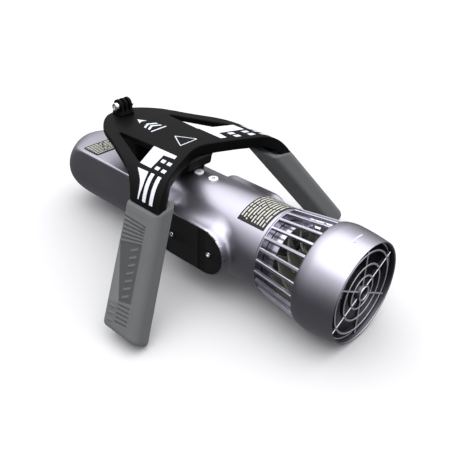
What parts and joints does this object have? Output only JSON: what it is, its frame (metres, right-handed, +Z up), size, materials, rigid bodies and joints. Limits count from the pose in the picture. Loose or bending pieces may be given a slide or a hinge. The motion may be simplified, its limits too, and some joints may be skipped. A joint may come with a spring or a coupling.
{
  "type": "underwater scooter",
  "caption": "Hand-held underwater scooter: round-nosed metal hull, ribbed intake cage, jet nozzle, and two swept grips on a top bracket.",
  "frame": {"origin": "middle of the footprint's bounding box, on the ground plane that the nozzle's belly touches", "axes": "+X aft along the thrust line towards the nozzle's mouth, +Z up, -Y to the driver's left"},
  "size_m": [0.42, 0.3328, 0.146],
  "materials": {
    "anodised": "satin anodised, brushed",
    "black_plastic": "fine moulded texture",
    "post_metal": "black anodised",
    "grip_rubber": "moulded soft rubber",
    "trigger_plastic": "satin",
    "steel": "bright",
    "seal_rubber": "smooth",
    "frame_plastic": "moulded",
    "cell_can": "shrink-wrapped can",
    "circuit": "solder-masked board",
    "lamination": "laminated steel",
    "copper": "enamelled winding",
    "label_foil": "printed foil",
    "impeller_plastic": "glass-filled moulding"
  },
  "bodies": {
    "hull": {"front_housing": "anodised", "hull_seal": "seal_rubber", "battery_frame": "frame_plastic", "battery_cells": "cell_can", "battery_links": "cell_can", "management_board": "circuit", "motor_housing": "anodised", "left_pod_cover": "black_plastic", "right_pod_cover": "black_plastic", "pod_gaskets": "seal_rubber", "pod_cover_screws": "steel", "controller_board": "circuit", "power_board": "circuit", "test_screws": "steel", "test_screw_seals": "seal_rubber", "motor_capsule": "anodised", "capsule_seal": "seal_rubber", "capsule_screws": "steel", "motor_end_plate": "steel", "motor_stator": "lamination", "stator_coils": "copper", "bearing_outer_rings": "steel", "bearing_balls": "steel", "shaft_seal": "seal_rubber", "motor_leads": "seal_rubber", "intake_cage": "anodised", "top_bracket": "black_plastic", "front_post": "post_metal", "rear_post": "post_metal", "bracket_screws": "steel", "post_screws": "steel", "camera_mount": "black_plastic", "camera_nut": "steel", "camera_mount_screw": "steel", "left_grip": "grip_rubber", "right_grip": "grip_rubber", "grip_screws": "steel", "trigger_pins": "steel", "left_trigger_spring": "steel", "right_trigger_spring": "steel", "trigger_switches": "frame_plastic", "nose_label": "label_foil", "tube_label": "label_foil"},
    "rotor": {"motor_rotor": "lamination", "rotor_magnets": "lamination", "motor_shaft": "steel", "bearing_inner_rings": "steel", "impeller": "impeller_plastic", "drive_pin": "steel", "impeller_nut": "steel"},
    "nozzle_unit": {"nozzle": "anodised", "outlet_guard": "anodised"},
    "left_trigger_lever": {"left_trigger": "trigger_plastic"},
    "right_trigger_lever": {"right_trigger": "trigger_plastic"},
    "camera_clamp": {"camera_screw": "steel"}
  },
  "joints": [
    {"name": "impeller_spin", "type": "hinge", "parent": "hull", "child": "rotor", "pos_m": [0.144, 0, 0.055], "axis": [1, 0, 0], "continuous": true},
    {"name": "nozzle_twist", "type": "hinge", "parent": "hull", "child": "nozzle_unit", "pos_m": [0.1685, 0, 0.055], "axis": [1, 0, 0], "range_deg": [0, 20]},
    {"name": "left_trigger_pull", "type": "hinge", "parent": "hull", "child": "left_trigger_lever", "pos_m": [0.01127, -0.09912, 0.08847], "axis": [0, -0.8116, 0.5842], "range_deg": [0, 6], "stiffness_Nm_per_rad": 0.6, "deforming": ["left_trigger_spring"]},
    {"name": "right_trigger_pull", "type": "hinge", "parent": "hull", "child": "right_trigger_lever", "pos_m": [0.01127, 0.09912, 0.08847], "axis": [0, -0.8116, -0.5842], "range_deg": [0, 6], "stiffness_Nm_per_rad": 0.6, "deforming": ["right_trigger_spring"]},
    {"name": "camera_screw_turn", "type": "hinge", "parent": "hull", "child": "camera_clamp", "pos_m": [-0.126, 0, 0.1385], "axis": [0, 1, 0], "continuous": true}
  ]
}
